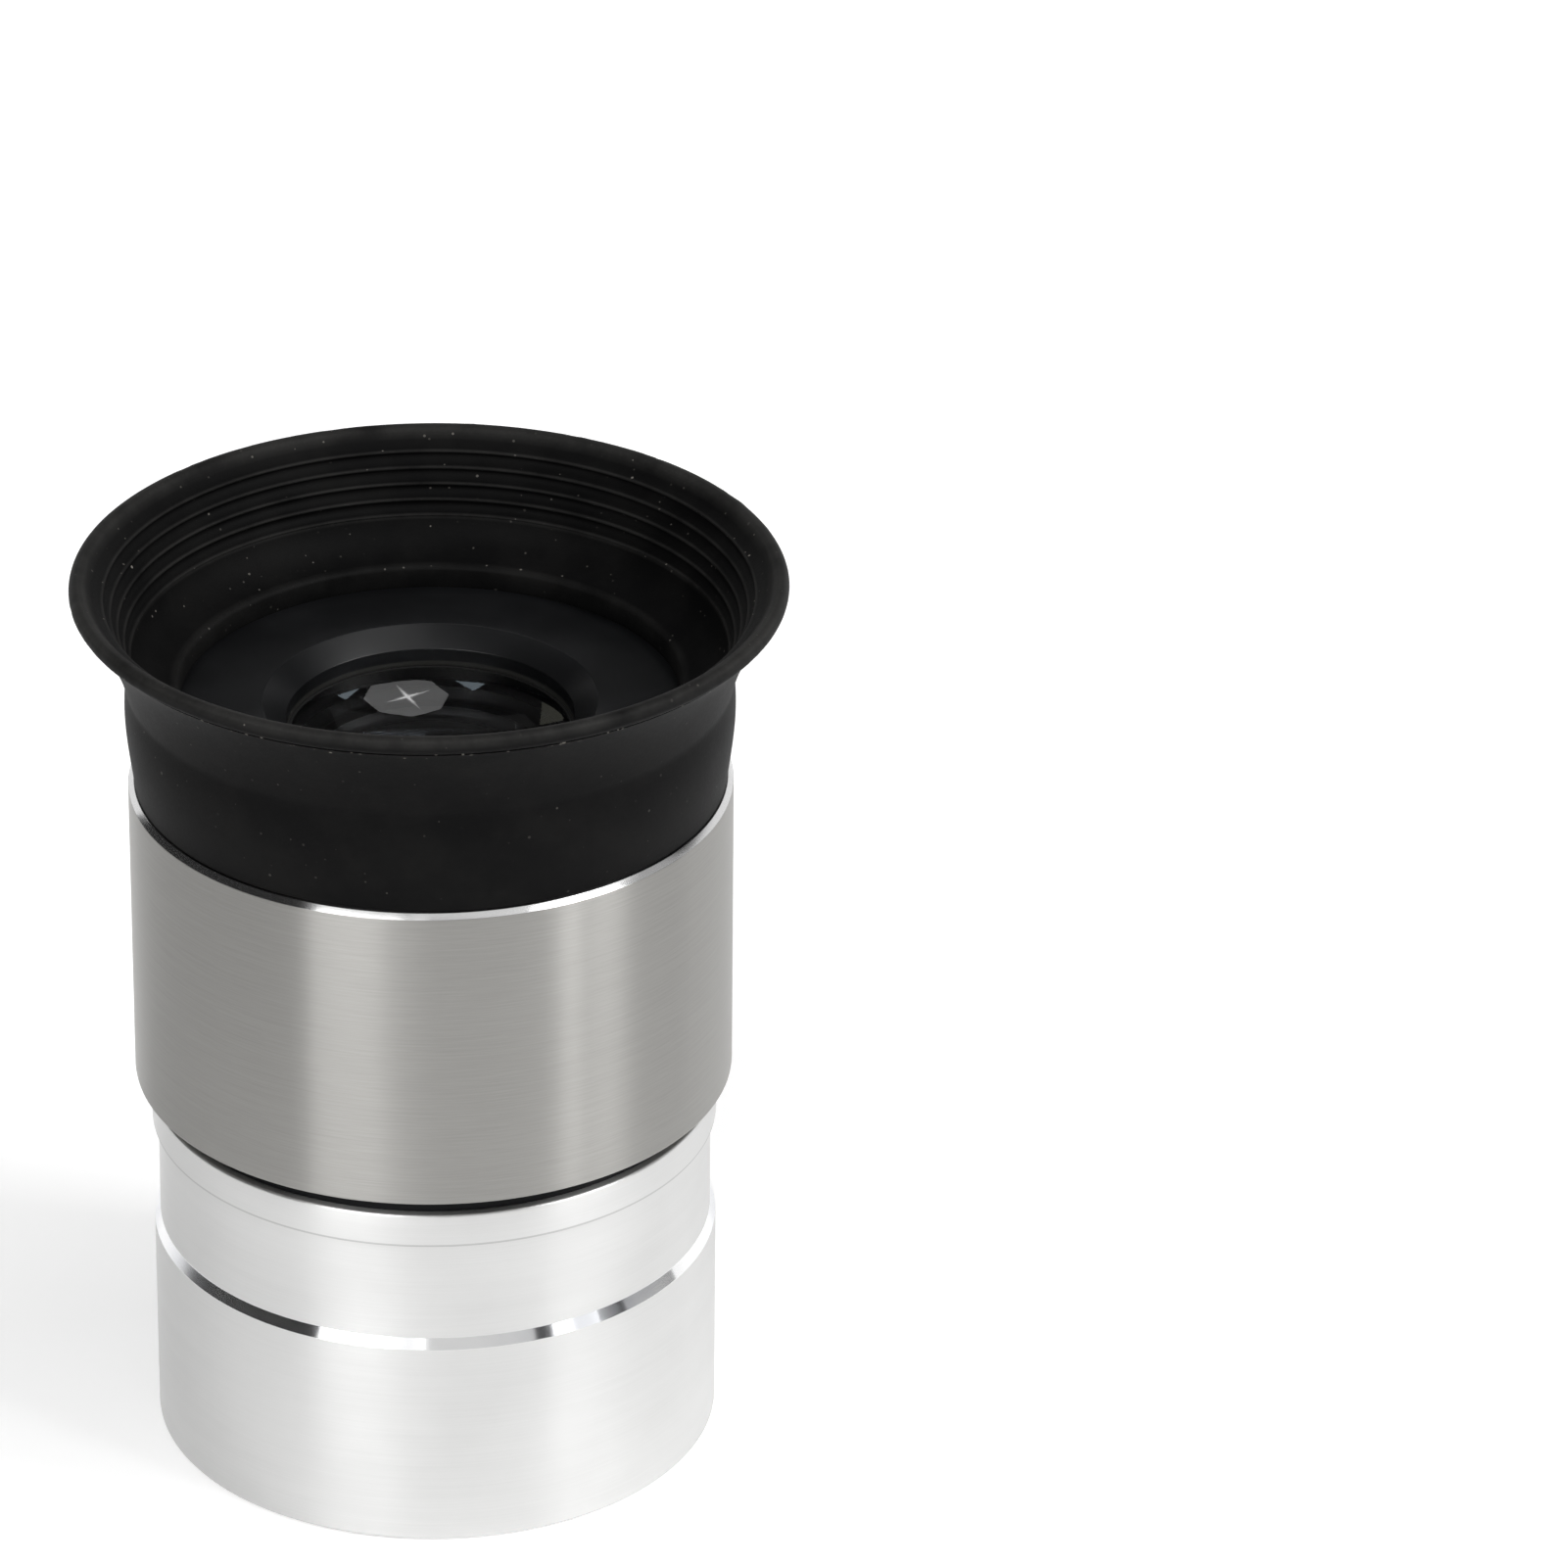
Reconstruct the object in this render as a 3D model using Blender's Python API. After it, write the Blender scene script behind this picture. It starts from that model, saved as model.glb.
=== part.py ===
"""Telescope eyepiece with a 1.25-inch barrel, a four-element lens stack and a fold-down rubber eyecup.

Every piece is turned about the optical axis, which is Z. The barrel's lower end stands at z = 0
and the eye looks down into the rubber cup at the top. Lengths below are in millimetres.
"""

from math import cos, pi, radians, sin, sqrt

import bmesh
import bpy
from mathutils import Vector
from mathutils.geometry import interpolate_bezier

MM = 0.001
SIDES = 48
LENS_SIDES = 32
SHARP_ANGLE = 28
MERGE_GAP = 0.001

# Gaps between neighbours: a slip fit that stays hidden, and a closed seam that shows as a line.
SLIP = 0.3
SEAM = 0.1

# Barrel: a plain 1.25-inch nosepiece with a safety groove and a filter thread inside its lower end.
BARREL_RADIUS = 31.75 / 2
BARREL_LENGTH = 20.94
BARREL_BORE = 13.6
GROOVE_RADIUS = 15.55
GROOVE_BOTTOM = 12.35
GROOVE_TOP = 18.95
GROOVE_CHAMFER = 0.6
EDGE_BREAK = 0.25
FILTER_BORE = 13.95
FILTER_DEPTH = 4.6
FILTER_LEAD = 0.35

# Threaded neck on top of the barrel, drawn at its mean diameter, and the shelf for the field stop.
NECK_RADIUS = 13.9
NECK_LENGTH = 5.8
NECK_BORE = 12.4
NECK_LEAD = 0.4
NECK_RELIEF_DEPTH = 0.4
NECK_RELIEF_WIDTH = 0.8
STOP_SHELF = 19.0

# Field stop: a thin black ring with a knife edge round the field of view.
STOP_APERTURE = 8.6
STOP_THICKNESS = 1.6
STOP_EDGE = 0.4
STOP_FACE = 10.8

# Black ring that shows between the barrel and the sleeve.
SEAT_RADIUS = 15.45
SEAT_CHAMFER = 0.3
SLEEVE_BOTTOM = 22.1

# Brushed sleeve with a turned-in lip below and a bright chamfer on top.
SLEEVE_RADIUS = 16.75
SLEEVE_WALL = 1.0
SLEEVE_TOP = 40.12
SLEEVE_CHAMFER = 0.36
SLEEVE_BREAK = 0.2
SLEEVE_LIP = 1.2

# Lens housing: the black tube that carries the sleeve, the lenses and the eyecup.
HOUSING_RADIUS = SLEEVE_RADIUS - SLEEVE_WALL - SLIP
HOUSING_HEAD = 14.9
HOUSING_TOP = 44.64
HEAD_BREAK = 0.2
CUP_GROOVE_DEPTH = 0.8
CUP_GROOVE_BOTTOM = 41.3
CUP_GROOVE_TOP = 42.7
EYE_CONE_RADIUS = 9.26
EYE_HOLE = 7.94
EYE_CONE_DEPTH = 0.93
LENS_LIP = 42.95
LENS_BORE = 9.3
LENS_BORE_LEAD = 0.45

# Lens stack: two doublets with their steep crowns facing each other and slightly hollow outer faces.
LENS_RADIUS = LENS_BORE - SLIP
EYE_LAND = 6.97
OUTER_CURVE = 52.0
CEMENT_CURVE = 30.0
CROWN_CURVE = 16.0
FLINT_EDGE = 2.8
CROWN_EDGE = 0.8
CROWN_GAP = 0.4
SPACER_WALL = 0.9
RETAINER_THICKNESS = 1.4
RETAINER_APERTURE = 7.6
RETAINER_LEAD = 0.3
SPANNER_SLOT_WIDTH = 1.6
SPANNER_SLOT_DEPTH = 0.7

# Rubber eyecup: a band that grips the housing and a ribbed flare that folds down over it.
CUP_FOOT_RADIUS = 16.4
CUP_BULGE_RADIUS = 16.84
CUP_BULGE_HEIGHT = 44.6
CUP_CREASE_RADIUS = 16.77
FOLD_HEIGHT = 46.2
CUP_LIP_RADIUS = 13.82
CUP_LIP_TOP = 45.95
CUP_LIP_ROUND = 0.3
RIM_CENTRE = (19.22, 51.75)
RIM_ROUND = 0.5
RIM_OUTER_ANGLE = -70
RIM_INNER_ANGLE = 125
RIB_COUNT = 5
RIB_FIRST = (17.85, 51.17)
RIB_LAST = (16.40, 47.88)
RIB_SAG = 0.08
RIB_DEPTH = 0.24
RIB_UNDERCUT = 0.3

# Pulls that bend the curves of the eyecup's section, as (outward, upward) from each curve's end.
FOOT_PULL = (0.15, 1.3)
BULGE_PULL = (0.0, -1.5)
CREASE_PULL = (0.44, 2.0)
RIM_PULL = (-1.2, -1.2)
FLOOR_DROP = (-0.2, -0.2)
FLOOR_PULL = (-0.15, -0.7)
LIP_PULL = (1.3, 0.1)


def clear_scene():
    """Start from an empty scene."""
    for obj in list(bpy.data.objects):
        bpy.data.objects.remove(obj, do_unlink=True)


def finish(name, colour, roughness, metallic, transmission=0.0):
    """Make one Principled material."""
    material = bpy.data.materials.new(name)
    material.use_nodes = True
    shader = material.node_tree.nodes["Principled BSDF"]
    shader.inputs["Base Color"].default_value = (*colour, 1.0)
    shader.inputs["Roughness"].default_value = roughness
    shader.inputs["Metallic"].default_value = metallic
    shader.inputs["Transmission Weight"].default_value = transmission
    return material


def arc(centre, radius, start, end, steps):
    """Points of a round stretch, with the angles in degrees from the outward direction."""
    angles = [radians(start + (end - start) * step / steps) for step in range(steps + 1)]
    return [(centre[0] + radius * cos(a), centre[1] + radius * sin(a)) for a in angles]


def moved(point, step):
    """Point of an outline shifted outward and upward."""
    return (point[0] + step[0], point[1] + step[1])


def bezier(start, start_pull, end_pull, end, count):
    """Points of a cubic curve between two points of an outline, bent by a pull at each end."""
    handles = (start, moved(start, start_pull), moved(end, end_pull), end)
    knots = [Vector((*point, 0.0)) for point in handles]
    return [(p.x, p.y) for p in interpolate_bezier(*knots, count)]


def sag(curve, radius):
    """Depth of a spherical surface at a distance from its axis."""
    return curve - sqrt(curve * curve - radius * radius)


def spherical(vertex, curve, edge, side, steps=6):
    """Points of a lens surface from its vertex on the axis to its edge, curving up or down."""
    radii = [edge * step / steps for step in range(steps + 1)]
    return [(r, vertex + side * sag(curve, r)) for r in radii]


def clip(outline, height, keep_above):
    """Cut a closed outline at a height and keep the part above or below it."""
    sign = 1 if keep_above else -1
    kept = []
    for (r0, z0), (r1, z1) in zip(outline, outline[1:] + outline[:1]):
        if sign * (z0 - height) >= 0:
            kept.append((r0, z0))
        if (z0 - height) * (z1 - height) < 0:
            share = (height - z0) / (z1 - z0)
            kept.append((r0 + share * (r1 - r0), height))
    return kept


def turned(name, outline, material, base=0.0, sides=SIDES):
    """Spin a closed outline of (radius, height) points into a solid whose origin is on the axis."""
    mesh = bpy.data.meshes.new(name)
    shape = bmesh.new()
    ring = [shape.verts.new((r * MM, 0.0, (z - base) * MM)) for r, z in outline]
    for index, vert in enumerate(ring):
        following = ring[(index + 1) % len(ring)]
        if abs(vert.co.x) + abs(following.co.x) > 0.0:
            shape.edges.new((vert, following))
    bmesh.ops.spin(
        shape, geom=shape.verts[:] + shape.edges[:], cent=(0, 0, 0), axis=(0, 0, 1),
        angle=2 * pi, steps=sides, use_merge=True,
    )
    bmesh.ops.remove_doubles(shape, verts=shape.verts[:], dist=MERGE_GAP * MM)
    bmesh.ops.recalc_face_normals(shape, faces=shape.faces[:])
    shape.to_mesh(mesh)
    shape.free()
    mesh.shade_smooth()
    mesh.set_sharp_from_angle(angle=radians(SHARP_ANGLE))
    mesh.materials.append(material)
    obj = bpy.data.objects.new(name, mesh)
    obj.location.z = base * MM
    bpy.context.collection.objects.link(obj)
    return obj


def slot_cutter(name, length, width, depth, height):
    """Box across the axis that cuts a pair of spanner slots upward from a face."""
    mesh = bpy.data.meshes.new(name)
    shape = bmesh.new()
    bmesh.ops.create_cube(shape, size=1.0)
    bmesh.ops.scale(shape, vec=(length * MM, width * MM, 2 * depth * MM), verts=shape.verts[:])
    shape.to_mesh(mesh)
    shape.free()
    obj = bpy.data.objects.new(name, mesh)
    obj.location.z = height * MM
    obj.hide_render = True
    obj.display_type = "WIRE"
    bpy.context.collection.objects.link(obj)
    return obj


def make_barrel(material):
    shoulder = BARREL_LENGTH
    neck_top = shoulder + NECK_LENGTH
    outline = [
        (NECK_BORE, neck_top),
        (NECK_RADIUS - NECK_LEAD, neck_top),
        (NECK_RADIUS, neck_top - NECK_LEAD),
        (NECK_RADIUS, shoulder + NECK_RELIEF_WIDTH),
        (NECK_RADIUS - NECK_RELIEF_DEPTH, shoulder + NECK_RELIEF_WIDTH),
        (NECK_RADIUS - NECK_RELIEF_DEPTH, shoulder),
        (BARREL_RADIUS - EDGE_BREAK / 2, shoulder),
        (BARREL_RADIUS, shoulder - EDGE_BREAK / 2),
        (BARREL_RADIUS, GROOVE_TOP),
        (GROOVE_RADIUS, GROOVE_TOP),
        (GROOVE_RADIUS, GROOVE_BOTTOM + GROOVE_CHAMFER),
        (BARREL_RADIUS, GROOVE_BOTTOM),
        (BARREL_RADIUS, EDGE_BREAK),
        (BARREL_RADIUS - EDGE_BREAK, 0.0),
        (FILTER_BORE + FILTER_LEAD, 0.0),
        (FILTER_BORE, FILTER_LEAD),
        (FILTER_BORE, FILTER_DEPTH),
        (BARREL_BORE, FILTER_DEPTH),
        (BARREL_BORE, STOP_SHELF),
        (NECK_BORE, STOP_SHELF),
    ]
    return turned("barrel", outline, material)


def make_field_stop(material):
    top = STOP_SHELF - SLIP
    bottom = top - STOP_THICKNESS
    outline = [
        (BARREL_BORE - SLIP, top),
        (BARREL_BORE - SLIP, bottom),
        (STOP_FACE, bottom),
        (STOP_APERTURE, top - STOP_EDGE),
        (STOP_APERTURE, top),
    ]
    return turned("field_stop", outline, material, base=bottom)


def make_seat_ring(material):
    bottom = BARREL_LENGTH + SEAM
    top = SLEEVE_BOTTOM - SEAM
    outline = [
        (NECK_RADIUS + SLIP, top),
        (SEAT_RADIUS - SEAT_CHAMFER, top),
        (SEAT_RADIUS, top - SEAT_CHAMFER),
        (SEAT_RADIUS, bottom),
        (NECK_RADIUS + SLIP, bottom),
    ]
    return turned("seat_ring", outline, material, base=bottom)


def make_body_sleeve(material):
    inner = SLEEVE_RADIUS - SLEEVE_WALL
    lip = NECK_RADIUS + SLIP
    outline = [
        (inner, SLEEVE_TOP),
        (SLEEVE_RADIUS - SLEEVE_CHAMFER, SLEEVE_TOP),
        (SLEEVE_RADIUS, SLEEVE_TOP - SLEEVE_CHAMFER),
        (SLEEVE_RADIUS, SLEEVE_BOTTOM + SLEEVE_BREAK),
        (SLEEVE_RADIUS - SLEEVE_BREAK, SLEEVE_BOTTOM),
        (lip, SLEEVE_BOTTOM),
        (lip, SLEEVE_BOTTOM + SLEEVE_LIP),
        (inner, SLEEVE_BOTTOM + SLEEVE_LIP),
    ]
    return turned("body_sleeve", outline, material, base=SLEEVE_BOTTOM)


def make_lens_housing(material):
    bottom = SLEEVE_BOTTOM + SLEEVE_LIP + SLIP
    thread_bore = NECK_RADIUS + SLIP
    thread_top = BARREL_LENGTH + NECK_LENGTH + SLIP
    groove = HOUSING_HEAD - CUP_GROOVE_DEPTH
    outline = [
        (EYE_CONE_RADIUS, HOUSING_TOP),
        (HOUSING_HEAD - HEAD_BREAK, HOUSING_TOP),
        (HOUSING_HEAD, HOUSING_TOP - HEAD_BREAK),
        (HOUSING_HEAD, CUP_GROOVE_TOP),
        (groove, CUP_GROOVE_TOP),
        (groove, CUP_GROOVE_BOTTOM),
        (HOUSING_HEAD, CUP_GROOVE_BOTTOM),
        (HOUSING_HEAD, SLEEVE_TOP - SLIP),
        (HOUSING_RADIUS, SLEEVE_TOP - SLIP),
        (HOUSING_RADIUS, bottom),
        (thread_bore, bottom),
        (thread_bore, thread_top),
        (LENS_BORE + LENS_BORE_LEAD, thread_top),
        (LENS_BORE, thread_top + LENS_BORE_LEAD),
        (LENS_BORE, LENS_LIP),
        (EYE_HOLE, LENS_LIP),
        (EYE_HOLE, HOUSING_TOP - EYE_CONE_DEPTH),
    ]
    return turned("lens_housing", outline, material, base=bottom)


def flint(name, face, side, land, material):
    """Outer element of a doublet: a slightly hollow outer face inside a flat land, and a hollow inner one."""
    seat = face - side * FLINT_EDGE
    outer = spherical(face - side * sag(OUTER_CURVE, land), OUTER_CURVE, land, side, steps=3)
    inner = spherical(seat + side * sag(CEMENT_CURVE, LENS_RADIUS), CEMENT_CURVE, LENS_RADIUS, -side)
    outline = outer + [(LENS_RADIUS, face)] + inner[::-1]
    return turned(name, outline, material, base=face, sides=LENS_SIDES)


def crown(name, seat, side, material):
    """Inner element of a doublet: it fills the hollow of its flint and bulges to the other doublet."""
    far = seat - side * CROWN_EDGE
    cemented = spherical(seat + side * sag(CEMENT_CURVE, LENS_RADIUS), CEMENT_CURVE, LENS_RADIUS, -side)
    steep = spherical(far - side * sag(CROWN_CURVE, LENS_RADIUS), CROWN_CURVE, LENS_RADIUS, side)
    return turned(name, cemented + steep[::-1], material, base=seat, sides=LENS_SIDES)


def make_lens_stack(glass, black):
    """Build the stack downward from the lip under the eye hole and return its pieces."""
    eye_face = LENS_LIP - SLIP
    eye_seat = eye_face - FLINT_EDGE - SLIP
    eye_edge = eye_seat - CROWN_EDGE
    bulge = sag(CROWN_CURVE, LENS_RADIUS)
    spacer_inner = LENS_RADIUS - SPACER_WALL
    bevel = bulge - sag(CROWN_CURVE, spacer_inner)
    field_edge = eye_edge - 2 * bulge - CROWN_GAP
    field_seat = field_edge - CROWN_EDGE
    field_face = field_seat - SLIP - FLINT_EDGE
    spacer = [
        (LENS_RADIUS, eye_edge - SLIP),
        (LENS_RADIUS, field_edge + SLIP),
        (spacer_inner, field_edge + bevel + SLIP),
        (spacer_inner, eye_edge - bevel - SLIP),
    ]
    pieces = [
        flint("eye_flint_lens", eye_face, 1, EYE_LAND, glass),
        crown("eye_crown_lens", eye_seat, 1, glass),
        turned("lens_spacer", spacer, black, base=field_edge + SLIP),
        crown("field_crown_lens", field_seat, -1, glass),
        flint("field_flint_lens", field_face, -1, EYE_LAND, glass),
    ]
    return pieces, field_face


def make_retaining_ring(material, field_face):
    top = field_face - SLIP
    bottom = top - RETAINER_THICKNESS
    outline = [
        (LENS_RADIUS, top),
        (LENS_RADIUS, bottom),
        (RETAINER_APERTURE + RETAINER_LEAD, bottom),
        (RETAINER_APERTURE, bottom + RETAINER_LEAD),
        (RETAINER_APERTURE, top),
    ]
    ring = turned("retaining_ring", outline, material, base=bottom)
    cutter = slot_cutter("spanner_slots", 3 * LENS_RADIUS, SPANNER_SLOT_WIDTH, SPANNER_SLOT_DEPTH, bottom)
    cut = ring.modifiers.new("spanner_slots", "BOOLEAN")
    cut.operation = "DIFFERENCE"
    cut.solver = "EXACT"
    cut.object = cutter
    return ring


def rib_points():
    """Crest of each rib inside the flare and the undercut below it, from the rim down."""
    points = []
    last = RIB_COUNT - 1
    for rib in range(RIB_COUNT):
        for below, hollow in ((0.0, 0.0), (RIB_UNDERCUT, RIB_DEPTH)):
            share = (rib + below) / last
            radius = RIB_FIRST[0] + share * (RIB_LAST[0] - RIB_FIRST[0])
            radius -= 4 * RIB_SAG * share * (1 - share)
            height = RIB_FIRST[1] + share * (RIB_LAST[1] - RIB_FIRST[1])
            points.append((radius + hollow, height))
    return points


def eyecup_outline():
    """Closed section of the whole rubber moulding, from its foot up the outside and back inside."""
    foot = SLEEVE_TOP + SEAM
    rim_outside = arc(RIM_CENTRE, RIM_ROUND, RIM_OUTER_ANGLE, RIM_INNER_ANGLE, 5)
    ribs = rib_points()
    lip_centre = (CUP_LIP_RADIUS + CUP_LIP_ROUND, CUP_LIP_TOP - CUP_LIP_ROUND)
    lip = arc(lip_centre, CUP_LIP_ROUND, 90, 180, 3)
    inner_wall = HOUSING_HEAD + SLIP
    bead = HOUSING_HEAD - CUP_GROOVE_DEPTH + SLIP
    bulge = (CUP_BULGE_RADIUS, CUP_BULGE_HEIGHT)
    crease = (CUP_CREASE_RADIUS, FOLD_HEIGHT)
    band = bezier((CUP_FOOT_RADIUS, foot), FOOT_PULL, BULGE_PULL, bulge, 5)
    flare = bezier(crease, CREASE_PULL, RIM_PULL, rim_outside[0], 8)
    floor = bezier(moved(ribs[-1], FLOOR_DROP), FLOOR_PULL, LIP_PULL, lip[0], 6)
    seat = HOUSING_TOP + SEAM
    under = [
        (CUP_LIP_RADIUS, seat),
        (inner_wall, seat),
        (inner_wall, CUP_GROOVE_TOP - SLIP),
        (bead, CUP_GROOVE_TOP - SLIP),
        (bead, CUP_GROOVE_BOTTOM + SLIP),
        (inner_wall, CUP_GROOVE_BOTTOM + SLIP),
        (inner_wall, foot),
    ]
    return band + flare + rim_outside[1:] + ribs + floor + lip[1:] + under


def make_eyecup(material):
    """Split the moulding at its fold line, because the flare moves and the band stays."""
    outline = eyecup_outline()
    fold_top = FOLD_HEIGHT + SLIP
    band = turned("eyecup_band", clip(outline, FOLD_HEIGHT, False), material, base=SLEEVE_TOP)
    flare = turned("eyecup_flare", clip(outline, fold_top, True), material, base=fold_top)
    return band, flare


def carrier(name, height):
    """Empty on the optical axis that carries the pieces of one moving group."""
    empty = bpy.data.objects.new(name, None)
    empty.empty_display_size = 5 * MM
    empty.location.z = height * MM
    bpy.context.collection.objects.link(empty)
    return empty


def carry(parent, pieces):
    """Hang pieces on a carrier without moving them. Inner carriers are filled before outer ones."""
    for piece in pieces:
        piece.location.z -= parent.location.z
        piece.parent = parent


def main():
    clear_scene()
    satin_aluminium = finish("satin_aluminium", (0.80, 0.80, 0.79), 0.32, 1.0)
    brushed_metal = finish("brushed_metal", (0.45, 0.44, 0.42), 0.30, 1.0)
    black_anodised = finish("black_anodised", (0.02, 0.02, 0.022), 0.45, 0.0)
    black_rubber = finish("black_rubber", (0.018, 0.018, 0.018), 0.65, 0.0)
    coated_glass = finish("coated_glass", (0.90, 0.95, 1.0), 0.03, 0.0, transmission=1.0)

    make_barrel(satin_aluminium)
    make_field_stop(black_anodised)
    seat_ring = make_seat_ring(black_anodised)
    sleeve = make_body_sleeve(brushed_metal)
    housing = make_lens_housing(black_anodised)
    lenses, field_face = make_lens_stack(coated_glass, black_anodised)
    retainer = make_retaining_ring(black_anodised, field_face)
    band, flare = make_eyecup(black_rubber)

    rising = carrier("screw_lift", BARREL_LENGTH)
    turning = carrier("screw_turn", BARREL_LENGTH)
    folding = carrier("eyecup_fold", FOLD_HEIGHT)
    carry(folding, [flare])
    carry(turning, [sleeve, housing, *lenses, retainer, band, folding])
    carry(rising, [seat_ring, turning])


main()
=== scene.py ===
import random
from math import atan2, cos, dist, hypot, pi, radians, sin, sqrt, tan

import bmesh
import bpy
from mathutils import Matrix, Vector
from mathutils.geometry import interpolate_bezier


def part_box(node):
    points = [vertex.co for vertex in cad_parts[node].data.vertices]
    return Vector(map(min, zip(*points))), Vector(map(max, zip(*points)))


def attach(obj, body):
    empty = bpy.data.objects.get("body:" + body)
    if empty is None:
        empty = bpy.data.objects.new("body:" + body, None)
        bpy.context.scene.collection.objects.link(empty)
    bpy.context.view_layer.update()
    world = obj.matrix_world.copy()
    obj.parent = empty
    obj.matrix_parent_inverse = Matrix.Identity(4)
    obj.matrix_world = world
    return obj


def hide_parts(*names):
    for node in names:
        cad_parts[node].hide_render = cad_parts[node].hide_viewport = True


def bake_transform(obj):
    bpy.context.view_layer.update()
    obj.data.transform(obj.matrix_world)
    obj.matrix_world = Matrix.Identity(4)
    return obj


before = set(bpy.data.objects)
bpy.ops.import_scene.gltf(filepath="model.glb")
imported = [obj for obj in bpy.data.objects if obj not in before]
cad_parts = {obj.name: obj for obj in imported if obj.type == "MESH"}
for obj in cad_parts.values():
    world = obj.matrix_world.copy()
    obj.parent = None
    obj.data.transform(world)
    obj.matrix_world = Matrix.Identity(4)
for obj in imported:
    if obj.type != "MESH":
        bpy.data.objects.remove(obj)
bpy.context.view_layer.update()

MM = 0.001

# Side of the photograph in pixels, and the camera fitted to its edges, in millimetres and degrees.
IMAGE_SIDE = 1601
FOCAL_PIXELS = 9638.7
SENSOR_MM = 36.0
CAMERA_DISTANCE = 530.5
CAMERA_TARGET_HEIGHT = 23.849
CAMERA_ELEVATION = 29.19
CAMERA_YAW = 2.14
CAMERA_PITCH = 1.46
CAMERA_ROLL = 0.55

# Studio, in metres and degrees. A level is how bright a thing looks, and 1 is white.
FLOOR_RADIUS = 6.0
FLOOR_SIDES = 96
FLOOR_DROP = 0.0001
TABLE_RADIUS = 0.9
TABLE_FADE = 0.5
TABLE_GLOW = 0.30
BACKDROP_RADIUS = 1.6
BACKDROP_HEIGHT = 0.75
BACKDROP_ENDS = (105, 225)
BACKDROP_STEPS = 30
BACKDROP_LEVEL = 0.55
ROOM_LEVEL = 0.03
PANEL_DISTANCE = 1.3
PANEL_ELEVATION = 28.0
PANEL_HEIGHT = 1.2
PANEL_AIM_HEIGHT = 0.03
CEILING_HEIGHT = 1.2
GLINT_DISTANCE = 0.600
GLINT_GAP = 0.002
SHARP_RAYS = ("Is Camera Ray", "Is Glossy Ray", "Is Transmission Ray")

# Pictures of the lights in the eye lens, in millimetres across and back from the optical axis.
SOFTBOX_CENTRE = (-1.36, 4.75)
SOFTBOX_REACH = (2.4, 2.05)
SOFTBOX_TURN = 8
STAR_CENTRE = (-1.27, 4.84)
STAR_REACH = (1.45, 1.45)
CORE_REACH = (0.75, 0.75)
STAR_TURN = 28
STAR_RAYS = (1.0, 0.17)
FAR_WINDOW = [(-5.6, 3.3), (0.0, 2.6), (5.2, 2.5), (6.2, 0.1), (-5.0, 0.5)]
FAR_WALL = [(6.2, 3.8), (7.6, 1.6), (7.3, 0.5), (6.0, 0.8)]
LEFT_FLAG = [(-5.3, 4.7), (-4.7, 4.25), (-3.8, 5.8)]
RIGHT_FLAG = [(1.4, 6.4), (2.4, 5.3), (3.1, 6.0)]

# How finely round pieces are turned, and the angle in degrees above which an edge is sharp.
SIDES = 288
INNER_SIDES = 144
CUP_SIDES = 520
THREAD_STEPS = 120
SHARP_ANGLE = 32

# Ridge of a thread: its sink in millimetres, half widths as shares of the pitch, and fade in turns.
THREAD_SINK = 0.05
THREAD_FOOT = 0.44
THREAD_FLAT = 0.07
THREAD_FADE = 0.5

# Grain of the metal in waves per metre across, along and up, and the soft border of a finish in millimetres.
TURNED_LINES = (150, 150, 14000)
TURNED_WAVES = (40, 40, 900)
BRUSHED_HAIRS = (420, 420, 24000)
BRUSHED_LINES = (190, 190, 9000)
FINISH_EDGE = 0.03


def top(node):
    """Height of a CAD node's highest point, in millimetres."""
    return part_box(node)[1][2] / MM


def bottom(node):
    """Height of a CAD node's lowest point, in millimetres."""
    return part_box(node)[0][2] / MM


def radius(node):
    """Largest radius of a CAD node, in millimetres."""
    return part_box(node)[1][0] / MM


# Barrel, in millimetres.
BARREL_RADIUS = radius("barrel")
NECK_TOP = top("barrel")
SHOULDER = 20.94
GROOVE_RADIUS = 15.55
GROOVE_BOTTOM = 12.35
GROOVE_TOP = 18.95
GROOVE_CHAMFER = 0.6
# Heights of the painted shade line under the collar's lower edge.
COLLAR_SHADE_HEIGHTS = (GROOVE_TOP - 0.05, GROOVE_TOP + 0.13)
EDGE_BREAK = 0.25
BARREL_BORE = 13.6
FILTER_MINOR = 13.95
FILTER_MAJOR = 14.25
FILTER_DEPTH = 4.6
FILTER_PITCH = 0.6
FILTER_THREAD = (0.5, FILTER_DEPTH - 0.4)
NECK_ROOT = 13.55
NECK_CREST = 13.98
NECK_BORE = 12.4
NECK_PITCH = 0.75
NECK_LEAD = (0.35, 0.5)
NECK_RELIEF_WIDTH = 0.8
NECK_THREAD = (SHOULDER + NECK_RELIEF_WIDTH, NECK_TOP - 0.6)
STOP_SHELF = 19.0

# Sleeve and seat ring.
SEAT_RADIUS = radius("seat_ring")
SLEEVE_RADIUS = radius("body_sleeve")
SLEEVE_BOTTOM = bottom("body_sleeve")
SLEEVE_TOP = top("body_sleeve")
SLEEVE_CHAMFER = 0.30
SLEEVE_BREAK = 0.2
SLEEVE_INNER = 15.75
SLEEVE_LIP = 1.2
THREAD_BORE = 14.2
SEAM_GAP = 0.02

# Lens housing.
HOUSING_RADIUS = radius("lens_housing")
HOUSING_BOTTOM = bottom("lens_housing")
HOUSING_TOP = top("lens_housing")
HOUSING_HEAD = 14.9
HEAD_STEP = 0.3
EYE_CONE_RADIUS = 9.26
EYE_CONE_DEPTH = 0.93
EYE_HOLE = 7.94
LENS_LIP = 42.67
LENS_SEAT_TOP = 42.98
LENS_SEAT_RADII = (8.0, 8.1)
LENS_BORE = 9.3
THREAD_TOP = 27.04

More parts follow.
